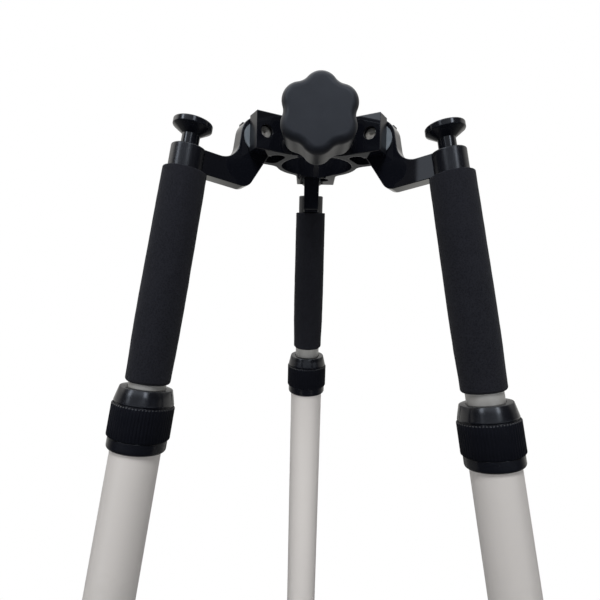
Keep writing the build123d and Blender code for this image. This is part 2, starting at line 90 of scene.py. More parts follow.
class Wire:
    """A socket that can be used in sums."""

    def __init__(self, nodes, socket):
        self.nodes = nodes
        self.socket = socket

    def sum(self, operation, first, second):
        """One step of a sum as a node."""
        return self.nodes.add("ShaderNodeMath", {"operation": operation}, {0: first, 1: second})

    def __add__(self, other):
        return self.sum("ADD", self, other)

    def __radd__(self, other):
        return self.sum("ADD", other, self)

    def __sub__(self, other):
        return self.sum("SUBTRACT", self, other)

    def __rsub__(self, other):
        return self.sum("SUBTRACT", other, self)

    def __mul__(self, other):
        return self.sum("MULTIPLY", self, other)

    def __rmul__(self, other):
        return self.sum("MULTIPLY", other, self)

    def __truediv__(self, other):
        return self.sum("DIVIDE", self, other)

    def __rtruediv__(self, other):
        return self.sum("DIVIDE", other, self)

    def __pow__(self, other):
        return self.sum("POWER", self, other)

    def __gt__(self, other):
        return self.sum("GREATER_THAN", self, other)

    def largest(self, other):
        return self.sum("MAXIMUM", self, other)


class Nodes:
    """The nodes of one finish, or of the world."""

    def __init__(self, tree):
        self.tree = tree

    def add(self, kind, settings=None, inputs=None, output=0):
        """Adds a node: its settings first, then the values or links of its sockets."""
        node = self.tree.nodes.new(kind)
        for name, value in (settings or {}).items():
            setattr(node, name, value)
        for name, value in (inputs or {}).items():
            self.feed(node.inputs[name], value)
        return Wire(self, node.outputs[output])

    def feed(self, socket, value):
        """Links a wire to a socket, or sets the socket's own value."""
        if isinstance(value, Wire):
            self.tree.links.new(value.socket, socket)
        else:
            socket.default_value = value

    def place(self):
        """Coordinates that stay on the piece when it moves."""
        return self.add("ShaderNodeTexCoord", output="Object")

    def ray(self, kind):
        """One for rays of a kind, such as Camera or Glossy."""
        return self.add("ShaderNodeLightPath", output=f"Is {kind} Ray")

    def grain(self, scale, detail, rough=0.5):
        """Soft noise from 0 to 1; scale is in cycles per metre."""
        inputs = {"Vector": self.place(), "Scale": scale, "Detail": detail, "Roughness": rough}
        return self.add("ShaderNodeTexNoise", {}, inputs)

    def cells(self, scale):
        """Distance to the nearest of many scattered points."""
        return self.add("ShaderNodeTexVoronoi", {}, {"Vector": self.place(), "Scale": scale})

    def ease(self, value, low, high, start=0.0, end=1.0):
        """Value carried smoothly from one range to another."""
        inputs = {"Value": value, "From Min": low, "From Max": high, "To Min": start, "To Max": end}
        return self.add("ShaderNodeMapRange", {"interpolation_type": "SMOOTHSTEP"}, inputs)

    def between(self, value, first_edge, second_edge):
        """Share from 0 to 1 between two soft edges, each given from outside to inside."""
        return self.ease(value, *first_edge) * self.ease(value, *second_edge)

    def blend(self, factor, first, second):
        """Colour between two colours."""
        inputs = {MIX_FACTOR: factor, MIX_FIRST: self.colour(first), MIX_SECOND: self.colour(second)}
        return self.add("ShaderNodeMix", {"data_type": "RGBA"}, inputs, MIX_RESULT)

    def colour(self, value):
        """A wire as it is, or three values with full alpha."""
        return value if isinstance(value, Wire) else (*value, 1)

    def along(self, place, direction):
        """Distance of a place along a direction."""
        inputs = {0: place, 1: direction}
        return self.add("ShaderNodeVectorMath", {"operation": "DOT_PRODUCT"}, inputs, "Value")

    def from_axis(self, origin, direction):
        """Distance of the piece's points from a line; direction has length 1."""
        ends = {0: self.place(), 1: origin}
        reach = self.add("ShaderNodeVectorMath", {"operation": "SUBTRACT"}, ends)
        height = self.along(reach, direction)
        return (self.along(reach, reach) - height * height).largest(0.0) ** 0.5

    def relief(self, height, depth, strength, normal=None):
        """Normal of a fine relief; depth in metres."""
        inputs = {"Height": height, "Distance": depth, "Strength": strength}
        if normal is not None:
            inputs["Normal"] = normal
        return self.add("ShaderNodeBump", {}, inputs)

    def soft_edges(self, radius):
        """Normal that rounds the edges of machined pieces."""
        return self.add("ShaderNodeBevel", {"samples": BEVEL_SAMPLES}, {"Radius": radius})


class Finish(Nodes):
    """One surface finish; fixed values go on the shader's own sockets."""

    def __init__(self, name, **fixed):
        self.material = bpy.data.materials.new(name)
        self.material.use_nodes = True
        super().__init__(self.material.node_tree)
        self.shader = self.tree.nodes["Principled BSDF"]
        self.wear(**fixed)

    def wear(self, **looks):
        """Sets or links sockets of the shader by their names."""
        for socket, value in looks.items():
            self.feed(self.shader.inputs[socket.replace("_", " ")], value)
        return self.material


JOINTS = {joint["name"]: joint for joint in frame["joints"]}


def leg_frame(leg):
    """Frame on a leg's axis at the level of its pivot: Z up along the leg, X outward."""
    up = Vector(JOINTS[f"{leg}_lock_turn"]["axis"])
    across = -Vector(JOINTS[f"{leg}_splay"]["axis"])
    at_nut = Vector(JOINTS[f"{leg}_lock_turn"]["pos_m"])
    pivot = Vector(JOINTS[f"{leg}_splay"]["pos_m"])
    origin = at_nut + up * (pivot - at_nut).dot(up)
    return Matrix((across.cross(up), across, up)).transposed().to_4x4(), origin


# Roughness of black pieces by how they were cut, and how strongly they mirror
MILLED = 0.02
POLISHED = 0.13
FINE_TURNED = 0.21
TURNED = 0.26
SAWN = 0.28
KNURLED = 0.55
ANODISED_IOR = 1.5
KNURLED_IOR = 1.15

# Where finishes change, in metres
EDGE_ROUNDING = 0.0004
CAP_BLEND = 0.3 * MM
SAWN_FROM = 0.0006
SAWN_FULL = 0.0002
BARE_END = (0.0, 0.001)
# Heights over which the foam is painted paler towards its top: painted light, not wear
FOAM_TOP_LIGHT = (-0.13, -0.05)
CLOUD_EDGES = (0.3, 0.7)  # levels of the grain, not lengths


def black_anodised(name, rough, matt=None, matt_rough=TURNED, ior=ANODISED_IOR):
    """Black anodising, a little dusty; matt gives the share that is cut rougher."""
    finish = Finish(name, IOR=ior)
    black, dusty = (0.0050, 0.0056, 0.0086), (0.010, 0.0105, 0.013)
    dust = finish.ease(finish.grain(55, 5, 0.62), 0.5, 0.8)
    tooling = finish.grain(2600, 2, 0.6)
    if matt:
        rough = rough + matt(finish) * (matt_rough - rough)
    colour = finish.blend(dust * 0.3, black, dusty)
    rough = rough + 0.015 * dust + 0.01 * tooling
    normal = finish.relief(tooling, 0.000001, 0.4, finish.soft_edges(EDGE_ROUNDING))
    return finish.wear(Base_Color=colour, Roughness=rough, Normal=normal)


def round_cap(leg):
    """Share of an arm that belongs to its turned cap."""
    turn, origin = leg_frame(leg)

    def share(finish):
        reach = finish.from_axis(origin, turn.col[2].to_3d())
        return finish.ease(reach, CAP_RADIUS * MM + CAP_BLEND, CAP_RADIUS * MM)

    return share


def tab_ends(finish):
    """Share of the head that belongs to the sawn ends of its tabs."""
    reach = 0.0
    for leg in LEGS:
        joint = JOINTS[f"{leg}_splay"]
        outward = Vector(UPWARD).cross(Vector(joint["axis"]))
        end = Vector(joint["pos_m"]).dot(outward) + TAB_END_MARGIN * MM
        along = finish.along(finish.place(), outward)
        reach = finish.ease(along, end - SAWN_FROM, end - SAWN_FULL).largest(reach)
    return reach


def knob_plastic():
    """Moulded black plastic with a fine matt grain and rubbed high spots."""
    finish = Finish("knob_plastic", IOR=1.47)
    dark, light = (0.0097, 0.0111, 0.0153), (0.0136, 0.0153, 0.0203)
    wear_and_top_light = (0.022, 0.024, 0.029)
    pores = finish.grain(2300, 3, 0.6)
    cloud = finish.ease(finish.grain(70, 4, 0.6), 0.35, 0.75)
    scuffs = finish.ease(finish.grain(420, 6, 0.7), 0.66, 0.74)
    colour = finish.blend(scuffs * 0.25, finish.blend(cloud, dark, light), wear_and_top_light)
    rough = 0.42 + 0.10 * pores - 0.04 * cloud
    normal = finish.relief(pores, 0.00006, 0.6)
    return finish.wear(Base_Color=colour, Roughness=rough, Normal=normal)


def bright_steel():
    """Zinc-plated steel, slightly clouded."""
    finish = Finish("bright_steel", Metallic=1.0)
    dull, bright = (0.50, 0.49, 0.46), (0.68, 0.67, 0.65)
    cloud = finish.grain(260, 5, 0.65)
    lines = finish.grain(3000, 2, 0.5)
    colour = finish.blend(finish.ease(cloud, *CLOUD_EDGES), dull, bright)
    rough = 0.22 + 0.18 * cloud + 0.06 * lines
    normal = finish.relief(lines, 0.00001, 0.6)
    return finish.wear(Base_Color=colour, Roughness=rough, Normal=normal)


def hinge_steel():
    """Hinge bolt: blackened head, bare bright end."""
    finish = Finish("hinge_steel")
    blackened = (0.010, 0.010, 0.012)
    dull, bright = (0.20, 0.194, 0.182), (0.44, 0.43, 0.405)
    cloud = finish.grain(420, 5, 0.65)
    bare = finish.ease(finish.along(finish.place(), UPWARD), *BARE_END)
    steel = finish.blend(finish.ease(cloud, *CLOUD_EDGES), dull, bright)
    colour = finish.blend(bare, blackened, steel)
    rough = 0.5 + 0.2 * cloud
    normal = finish.relief(cloud, 0.0003, 0.8)
    return finish.wear(Base_Color=colour, Metallic=0.15 * bare, Roughness=rough, Normal=normal)


def pale_nylon():
    """Milky moulded nylon."""
    finish = Finish("pale_nylon", IOR=1.53)
    deep, milky = (0.18, 0.212, 0.243), (0.225, 0.258, 0.29)
    cloud = finish.ease(finish.grain(180, 4, 0.6), *CLOUD_EDGES)
    pores = finish.grain(1800, 3, 0.6)
    rough = 0.42 + 0.12 * pores
    normal = finish.relief(pores, 0.00002, 0.6)
    return finish.wear(Base_Color=finish.blend(cloud, deep, milky), Roughness=rough, Normal=normal)


def grey_anodised():
    """Natural anodised tube with fine drawing lines."""
    finish = Finish("grey_anodised", IOR=1.5, Metallic=0.15)
    grey, pale = (0.40, 0.395, 0.38), (0.48, 0.475, 0.46)
    cloud = finish.ease(finish.grain(90, 4, 0.6), *CLOUD_EDGES)
    lines = finish.grain(2600, 2, 0.5)
    rough = 0.34 + 0.12 * lines
    normal = finish.relief(lines, 0.00001, 0.5)
    return finish.wear(Base_Color=finish.blend(cloud, grey, pale), Roughness=rough, Normal=normal)


def closed_cell_foam():
    """Black closed-cell foam: fine pores, a cloudy bloom, painted light that makes it paler towards the top, no
    gloss.
    """
    finish = Finish("closed_cell_foam", IOR=1.4, Specular_IOR_Level=0.3, Sheen_Weight=0.05)
    dark, bloomed_and_lit = (0.0070, 0.0074, 0.0108), (0.0108, 0.0113, 0.0156)
    pore_edge = (0.0190, 0.0198, 0.0255)
    pores = finish.cells(1000)
    # Painted light: the foam is painted paler towards its top, where more light falls
    wear_and_top_light = finish.ease(finish.along(finish.place(), UPWARD), *FOAM_TOP_LIGHT)
    fuzz = finish.grain(3600, 4, 0.7)
    # The random bloom and the painted top light both lighten the colour
    bloom_and_top_light = finish.ease(finish.grain(60, 5, 0.65), 0.35, 0.75) + 0.5 * wear_and_top_light
    colour = finish.blend(bloom_and_top_light, dark, bloomed_and_lit)
    colour = finish.blend(finish.ease(pores, 0.15, 0.6) * 0.6, colour, pore_edge)
    rough = 0.86 + 0.1 * fuzz
    normal = finish.relief(pores * 0.7 + fuzz * 0.5, 0.00022, 0.8)
    return finish.wear(Base_Color=colour, Roughness=rough, Normal=normal)


def white_paint():
    """White powder coat: slight orange peel, a few specks and faint grime."""
    finish = Finish("white_paint", IOR=1.5)
    white, grimy, speck = (0.752, 0.722, 0.700), (0.61, 0.585, 0.56), (0.34, 0.33, 0.32)
    peel = finish.grain(520, 2, 0.5)
    grime = finish.ease(finish.grain(16, 6, 0.68), 0.52, 0.78)
    specks = finish.ease(finish.cells(95), 0.035, 0.02)
    chosen = finish.grain(38, 1, 0.4) > 0.58
    colour = finish.blend(grime * 0.35, white, grimy)
    colour = finish.blend(specks * chosen * 0.55, colour, speck)
    rough = 0.33 + 0.14 * grime + 0.08 * peel
    normal = finish.relief(peel, 0.00002, 0.5)
    return finish.wear(Base_Color=colour, Roughness=rough, Normal=normal)


FINISHES = {
    "black_anodised": black_anodised("black_anodised", MILLED, tab_ends, SAWN),
    "black_button": black_anodised("black_button", POLISHED),
    "black_turned": black_anodised("black_turned", TURNED),
    "black_nut": black_anodised("black_nut", FINE_TURNED),
    "black_knurl": black_anodised("black_knurl", KNURLED, ior=KNURLED_IOR),
    "knob_plastic": knob_plastic(),
    "bright_steel": bright_steel(),
    "hinge_steel": hinge_steel(),
    "pale_nylon": pale_nylon(),
    "grey_anodised": grey_anodised(),
    "foam": closed_cell_foam(),
    "white_paint": white_paint(),
}
for leg in LEGS:
    FINISHES[f"{leg}_arm_black"] = black_anodised(f"{leg}_arm_black", MILLED, round_cap(leg))
CUT_FINISHES = {
    "release_button": "black_button",
    "lock_sleeve": "black_turned",
    "lock_nut": "black_nut",
    "foot_ferrule": "black_turned",
}


def coat(piece, finish):
    """Gives a solid or a new piece a finish."""
    if not piece.material_slots:
        piece.data.materials.append(None)
    for place in piece.material_slots:
        place.material = FINISHES[finish]


def finish_of(node, slot):
    """Finish of a solid: black pieces differ by how they were cut."""
    leg, _, piece = node.partition("_")
    if piece == "hinge_arm":
        return f"{leg}_arm_black"
    return CUT_FINISHES.get(piece, slot)


for row in frame["record"]["subparts"]:
    coat(frame["nodes"][row["node"]], finish_of(row["node"], row["material_slot"]))


SHARP_EDGE = radians(38)


def dressed(name, rows, matrix, body, slot, nodes=(), closed=False, finish=None):
    """New piece from rows of points in millimetres; closed joins the last row to the first."""
    count = len(rows[0])
    points = [Vector(point) * MM for row in rows for point in row]
    starts = [count * index for index in range(len(rows))]
    pairs = list(zip(starts, starts[1:]))
    if closed:
        pairs.append((starts[-1], starts[0]))
    faces = []
    for low, high in pairs:
        for column in range(count):
            after = (column + 1) % count
            faces.append((low + column, low + after, high + after, high + column))
    if not closed:
        faces.append(tuple(reversed(range(count))))
        faces.append(tuple(range(starts[-1], starts[-1] + count)))
    mesh = bpy.data.meshes.new(name)
    mesh.from_pydata(points, [], faces)
    mesh.validate()
    mesh.shade_smooth()
    mesh.set_sharp_from_angle(angle=SHARP_EDGE)
    piece = bpy.data.objects.new(name, mesh)
    bpy.context.scene.collection.objects.link(piece)
    piece.matrix_world = matrix
    coat(piece, finish or slot)
    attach(piece, body)
    if nodes:
        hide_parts(*nodes)
    return piece


def ring(radius, height, columns):
    """Points round the axis; radius is a number or a function of the angle."""
    angles = [tau * i / columns for i in range(columns)]
    sizes = [radius(a) if callable(radius) else radius for a in angles]
    return [(r * cos(a), r * sin(a), height) for r, a in zip(sizes, angles)]


def leg_matrix(leg):
    """Place of the pieces that ride on an upper leg."""
    turn, origin = leg_frame(leg)
    return Matrix.Translation(origin) @ turn


def nut_matrix(leg):
    """The same frame, moved down by as much as the lower tube is drawn out."""
    turn, _ = leg_frame(leg)
    up = Vector(JOINTS[f"{leg}_lock_turn"]["axis"])
    at_nut = Vector(JOINTS[f"{leg}_lock_turn"]["pos_m"])
    return Matrix.Translation(at_nut + up * NUT_STATION * MM) @ turn


# Foam grips: slightly barrelled sleeves with soft ends, each a little different
GRIP_COLUMNS = 112
GRIP_PROFILE = ((0, 14.65), (0.6, 15.1), (0.8, 14.95), (0.93, 14.45), (1, 14.3))
GRIP_FULLNESS = {"left": 0.0, "right": 0.2, "rear": -0.35}
GRIP_END_SHIFT = {"left": 0.0, "right": 0.7, "rear": -4.2}
FOAM_TOP = GRIP_TOP - 0.6  # pushed up against the limb of the arm
FOAM_TOP_EDGE = 0.7
FOAM_EDGE = 2.4
FOAM_BORE = TUBE_RADIUS + 0.08
FOAM_BORE_TOP_EDGE = 0.4
FOAM_BORE_EDGE = 0.5
TOP_ROWS = 5
BODY_ROWS = 64
END_ROWS = 8
DENTS_ROUND = 2.2
DENT_LENGTH = 9
DENT_DEPTH = 0.10
FINE_DENTS = 3.1
FINE_DENT_DEPTH = 0.05
DENT_SHIFT = 7.0


def rounding(edge, inward):
    """Fall of a quarter-round edge at a distance in from its end."""
    return edge - (edge ** 2 - (edge - inward) ** 2) ** 0.5 if inward < edge else 0.0


def foam_radius(station, end):
    """Outside of the foam, with its two round ends."""
    share = (station - FOAM_TOP) / (end - FOAM_TOP)
    for (before, low), (after, high) in zip(GRIP_PROFILE, GRIP_PROFILE[1:]):
        if before <= share <= after:
            radius = low + (high - low) * (share - before) / (after - before)
    return radius - rounding(FOAM_TOP_EDGE, station - FOAM_TOP) - rounding(FOAM_EDGE, end - station)


def foam_stations(end):
    """Stations of the rows: close together at the round ends."""
    start, stop = FOAM_TOP + FOAM_TOP_EDGE, end - FOAM_EDGE
    stations = [FOAM_TOP + FOAM_TOP_EDGE * (1 - cos(pi / 2 * i / TOP_ROWS)) for i in range(TOP_ROWS)]
    stations += [start + (stop - start) * i / BODY_ROWS for i in range(BODY_ROWS)]
    return stations + [end - FOAM_EDGE * (1 - sin(pi / 2 * i / END_ROWS)) for i in range(END_ROWS + 1)]


def foam_grip(leg):
    """Sleeve with small dents, turned about the leg."""
    end = GRIP_END + GRIP_END_SHIFT[leg]
    shift = DENT_SHIFT * LEGS.index(leg)
    rows = []
    for station in foam_stations(end):
        radius = foam_radius(station, end) + GRIP_FULLNESS[leg]

        def dented(angle, radius=radius, level=station / DENT_LENGTH + shift):
            spot = Vector((DENTS_ROUND * cos(angle), DENTS_ROUND * sin(angle), level))
            fine = FINE_DENT_DEPTH * noise.noise(spot * FINE_DENTS)
            return radius + DENT_DEPTH * noise.noise(spot) + fine

        rows.append(ring(dented, -station, GRIP_COLUMNS))
    inside = [(FOAM_BORE + FOAM_BORE_EDGE, end), (FOAM_BORE, end - FOAM_BORE_EDGE),
              (FOAM_BORE, FOAM_TOP + FOAM_BORE_TOP_EDGE), (FOAM_BORE + FOAM_BORE_TOP_EDGE, FOAM_TOP)]
    rows += [ring(radius, -station, GRIP_COLUMNS) for radius, station in inside]
    rows.reverse()
    grip = dressed(f"{leg}_foam_sleeve", rows, leg_matrix(leg), f"{leg}_upper_leg", "foam",
                   [f"{leg}_foam_grip"], closed=True)


# Lock nuts: smooth cone, groove and a band of fine straight ribs
RIB_COUNT = 60
RIB_STEPS = (0.0, 0.02, 0.14, 0.29, 0.34, 0.29, 0.14, 0.02)
RIB_COLUMNS = RIB_COUNT * len(RIB_STEPS)
RIB_EDGE = 0.7
CREST_SHARE = 0.25
KNURL_FLOOR = 18.5
KNURL_LAND = 0.05
NUT_BORE = TUBE_RADIUS + 0.3


def ribbed(radius, share=1.0):
    """Radius that falls away between the ribs."""
    def at(angle):
        return radius - share * RIB_STEPS[round(angle / tau * RIB_COLUMNS) % len(RIB_STEPS)]

    return at


# Radius and station of the nut's section, from the top of its bore round the outside
NUT_PROFILE = (
    (NUT_BORE, NUT_TOP + 0.4), (NUT_BORE + 0.4, NUT_TOP), (16.3, NUT_TOP),
    (16.62, NUT_TOP + 0.12), (16.85, NUT_TOP + 0.45), (17.9, NUT_TOP + 4.6),
    (18.85, NUT_TOP + 8.6), (19.02, NUT_TOP + 9.4), (18.95, NUT_TOP + 9.75),
    (18.7, NUT_TOP + 9.9), (18.35, NUT_TOP + 9.95), (18.35, KNURL_TOP - 0.02),
    (19.15, KNURL_TOP), (ribbed(19.37, 0.2), KNURL_TOP + 0.12),
    (ribbed(19.62, 0.6), KNURL_TOP + 0.35), (ribbed(KNURL_RADIUS), KNURL_TOP + RIB_EDGE),
    (ribbed(KNURL_RADIUS), KNURL_TOP + 7), (ribbed(KNURL_RADIUS), KNURL_TOP + 14),
    (ribbed(KNURL_RADIUS), NUT_END - RIB_EDGE), (ribbed(19.6, 0.55), NUT_END - 0.35),
    (ribbed(19.3, 0.1), NUT_END - 0.05), (19.1, NUT_END), (17.75, NUT_END),
    (17.75, NUT_TOP + 11.8), (14.7, NUT_TOP + 1.5), (NUT_BORE, NUT_TOP + 1.5),
)


def dull_knurl(nut):
    """Second finish on the knurl: only the upper ends of its ribs stay bright."""
    nut.data.materials.append(FINISHES["black_knurl"])
    for face in nut.data.polygons:
        station, reach = -face.center.z / MM, face.center.xy.length / MM
        from_crest = atan2(face.center.y, face.center.x) / tau * RIB_COUNT % 1
        crest = abs(from_crest - 0.5) > CREST_SHARE
        rib_end = crest and KNURL_TOP < station < KNURL_TOP + RIB_EDGE
        knurled = station > KNURL_TOP - KNURL_LAND and reach > KNURL_FLOOR
        face.material_index = int(knurled and not rib_end)


def lock_nut(leg):
    """Nut turned about the leg, ribbed where a hand holds it."""
    rows = [ring(radius, -station, RIB_COLUMNS) for radius, station in reversed(NUT_PROFILE)]
    nut = dressed(f"{leg}_knurled_nut", rows, nut_matrix(leg), f"{leg}_nut", "black_anodised",
                  [f"{leg}_lock_nut"], closed=True, finish="black_nut")
    dull_knurl(nut)


# Return springs: a coil with closed ends that is pressed together under the button
SPRING_COIL = 6.8
SPRING_WIRE = 0.6
SPRING_LOW = 63.1
SPRING_HIGH = 42.9
OPEN_TURNS = 4.0
CLOSED_TURNS = 0.75
CLOSED_PITCH = 1.3
WIRE_SIDES = 12
STEPS_PER_TURN = 36


def spring_rise(turn):
    """Height of the wire over its lower end after some turns."""
    closed_rise = CLOSED_TURNS * CLOSED_PITCH
    pitch = (SPRING_LOW - SPRING_HIGH - 2 * closed_rise) / OPEN_TURNS
    opened = min(max(turn - CLOSED_TURNS, 0.0), OPEN_TURNS)
    return (turn - opened) * CLOSED_PITCH + opened * pitch


def return_spring(leg):
    """Coil of round wire, its lower end still on the seat when the button is pressed."""
    upward = Vector(UPWARD)
    section = ring(SPRING_WIRE, 0.0, WIRE_SIDES)
    steps = round((OPEN_TURNS + 2 * CLOSED_TURNS) * STEPS_PER_TURN)
    rows = []
    for step in range(steps + 1):
        turn = step / STEPS_PER_TURN
        outward = Vector((cos(tau * turn), sin(tau * turn), 0))
        middle = SPRING_COIL * outward + (spring_rise(turn) - SPRING_LOW) * upward
        rows.append([middle + x * outward - y * upward for x, y, _ in section])
    spring = dressed(f"{leg}_coil_spring", rows, leg_matrix(leg), f"{leg}_upper_leg", "bright_steel",
                     [f"{leg}_return_spring"])
    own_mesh(spring)


for leg in LEGS:
    foam_grip(leg)
    lock_nut(leg)
    return_spring(leg)


# Clamp screw: plain in the knob, then a coarse thread, then a plain tip in the shoe
KNOB_BACK = -0.061
SCREW_COLUMNS = 48
SCREW_PITCH = 1.75
SCREW_CREST = 5.98
SCREW_DEPTH = 1.05
GROOVE_ROOT = 1.25
GROOVE_FLANK = 2.9
STEPS_PER_PITCH = 8
SCREW_IN_KNOB = 20.0
THREAD_START = -2.6
THREAD_END = 36.0
SCREW_TIP = 40.0
SCREW_SHANK = ((5.2, -SCREW_IN_KNOB), (5.9, -SCREW_IN_KNOB + 0.8), (5.9, -3.0))
SCREW_NOSE = ((5.4, THREAD_END + 0.45), (3.95, THREAD_END + 0.5), (3.95, SCREW_TIP - 0.5),
              (3.5, SCREW_TIP))


def groove_depth(turns):
    """Depth of the thread's groove at a share of one turn."""
    share = turns - floor(turns)
    return SCREW_DEPTH * min(1.0, max(0.0, GROOVE_ROOT - abs(share - 0.5) * GROOVE_FLANK))


def clamp_screw():
    """Stud of the knob; its thread fades out over one turn at both ends."""
    rows = [ring(radius, height, SCREW_COLUMNS) for radius, height in SCREW_SHANK]
    count = int((THREAD_END - THREAD_START) / SCREW_PITCH * STEPS_PER_PITCH)
    for index in range(count):
        height = THREAD_START + SCREW_PITCH * index / STEPS_PER_PITCH
        fade = min(1.0, index / STEPS_PER_PITCH, (count - 1 - index) / STEPS_PER_PITCH)

        def cut(angle, height=height, fade=fade):
            return SCREW_CREST - fade * groove_depth(height / SCREW_PITCH - angle / tau)

        rows.append(ring(cut, height, SCREW_COLUMNS))
    rows += [ring(radius, height, SCREW_COLUMNS) for radius, height in SCREW_NOSE]
    along = Matrix(((1, 0, 0), (0, 0, 1), (0, -1, 0))).to_4x4()
    dressed("clamp_stud", rows, Matrix.Translation((0, KNOB_BACK, 0)) @ along, "clamp_knob",
            "bright_steel", ["clamp_screw"])


clamp_screw()


# Hinge bolts: knurled socket heads on the thin ears, plain dimpled ends in the thick ears
BOLT_RADIUS = 4.42
BOLT_TIP = TAB_HALF - 3.2
BOLT_HEAD = 6.0
BOLT_HEAD_HEIGHT = 4.0
HEAD_UNDER = -TAB_HALF
HEAD_TOP = HEAD_UNDER - BOLT_HEAD_HEIGHT
SOCKET_FLATS = 3.0
SOCKET_DEPTH = 2.4
SOCKET_FLOOR = HEAD_TOP + SOCKET_DEPTH
HEAD_RIBS = 48
COLUMNS_PER_RIB = 3
HEAD_COLUMNS = HEAD_RIBS * COLUMNS_PER_RIB
HEAD_RIB_DEPTH = 0.28


def hexagon(half_flats):
    """Outline of the key's socket."""
    def at(angle):
        side = (angle + pi / 6) % (pi / 3) - pi / 6
        return half_flats / cos(side)

    return at


def head_ribs(angle):
    """Outline of the bolt's head with a fine groove between its ribs."""
    groove = round(angle / tau * HEAD_COLUMNS) % COLUMNS_PER_RIB == 0
    return BOLT_HEAD - HEAD_RIB_DEPTH * groove


# Radius and height of the bolt's section, from the floor of its socket to its tip
BOLT_PROFILE = (
    (0.3, SOCKET_FLOOR + 0.5), (hexagon(SOCKET_FLATS - 0.4), SOCKET_FLOOR),
    (hexagon(SOCKET_FLATS), SOCKET_FLOOR - 0.2), (hexagon(SOCKET_FLATS), HEAD_TOP + 0.3),
    (hexagon(SOCKET_FLATS + 0.3), HEAD_TOP), (BOLT_HEAD - 0.9, HEAD_TOP),
    (BOLT_HEAD - 0.45, HEAD_TOP + 0.12), (BOLT_HEAD - 0.2, HEAD_TOP + 0.45),
    (head_ribs, HEAD_TOP + 0.8), (head_ribs, HEAD_UNDER - 0.7),
    (BOLT_HEAD - 0.35, HEAD_UNDER - 0.3), (BOLT_HEAD - 0.5, HEAD_UNDER), (BOLT_RADIUS, HEAD_UNDER),
    (BOLT_RADIUS, BOLT_TIP - 0.5), (BOLT_RADIUS - 0.45, BOLT_TIP), (1.6, BOLT_TIP),
    (1.3, BOLT_TIP - 0.3), (0.3, BOLT_TIP - 1.2),
)


def hinge_bolt(leg):
    """Bolt along a hinge, its head on the thin ear."""
    pivot = Vector(JOINTS[f"{leg}_splay"]["pos_m"])
    tip_way = -Vector(JOINTS[f"{leg}_splay"]["axis"]) * THICK_EAR_SIDE[leg]
    side = Vector(UPWARD)
    turn = Matrix((side, tip_way.cross(side), tip_way)).transposed().to_4x4()
    rows = [ring(radius, height, HEAD_COLUMNS) for radius, height in BOLT_PROFILE]
    dressed(f"{leg}_hinge_bolt", rows, Matrix.Translation(pivot) @ turn, "head", "bright_steel",
            ["pivot_bolts"], finish="hinge_steel")


for leg in LEGS:
    hinge_bolt(leg)


# Camera as the photograph was taken
CAMERA_AT = Vector((-5.14, -366.77, -110.96)) * MM
CAMERA_YAW = radians(-0.834)
CAMERA_PITCH = radians(-0.870)
CAMERA_ROLL = radians(1.404)
LENS_PIXELS = 453.0
IMAGE_PIXELS = 600.0
SENSOR = 36.0
NEAREST = 0.01
FARTHEST = 100


def make_camera():
    """Camera at the photograph's place, turned and rolled as it was."""
    flat = cos(CAMERA_PITCH)
    forward = Vector((sin(CAMERA_YAW) * flat, cos(CAMERA_YAW) * flat, sin(CAMERA_PITCH)))
    level = Vector((cos(CAMERA_YAW), -sin(CAMERA_YAW), 0))
    upright = level.cross(forward)
    right = cos(CAMERA_ROLL) * level + sin(CAMERA_ROLL) * upright
    up = cos(CAMERA_ROLL) * upright - sin(CAMERA_ROLL) * level
    data = bpy.data.cameras.new("photo_view")
    data.sensor_width = SENSOR
    data.lens = LENS_PIXELS / IMAGE_PIXELS * SENSOR
    data.clip_start = NEAREST
    data.clip_end = FARTHEST
    camera = bpy.data.objects.new("photo_view", data)
    bpy.context.scene.collection.objects.link(camera)
    turn = Matrix((right, up, -forward)).transposed().to_4x4()
    camera.matrix_world = Matrix.Translation(CAMERA_AT) @ turn
    bpy.context.scene.camera = camera


make_camera()


# Floor under the feet: white to the eye, glowing with a painted reflection that only reflections show
FLOOR_HALF = 30.0
FLOOR_GAP = 0.0005
FLOOR_PAINT = ((0.86, 0.86, 0.85), (0.9, 0.9, 0.89))
# Painted reflection: tones the floor glows with for glossy rays only, dark before the tripod, pale far behind
FRONT_FLOOR_REFLECTION = (0.02, 0.022, 0.03)
NEAR_FLOOR_REFLECTION = (0.19, 0.19, 0.185)
FAR_FLOOR_REFLECTION = (0.72, 0.715, 0.68)
FRONT_TO_NEAR = (-0.4, 0.5)
NEAR_TO_FAR = (3.6, 5.8)
ASIDE_SQUARED = (0.25, 1.4)
ASIDE_BEHIND = (1.0, 2.5)
SHADOW_FADE = (0.6, 1.1, 0.7, 1.0)


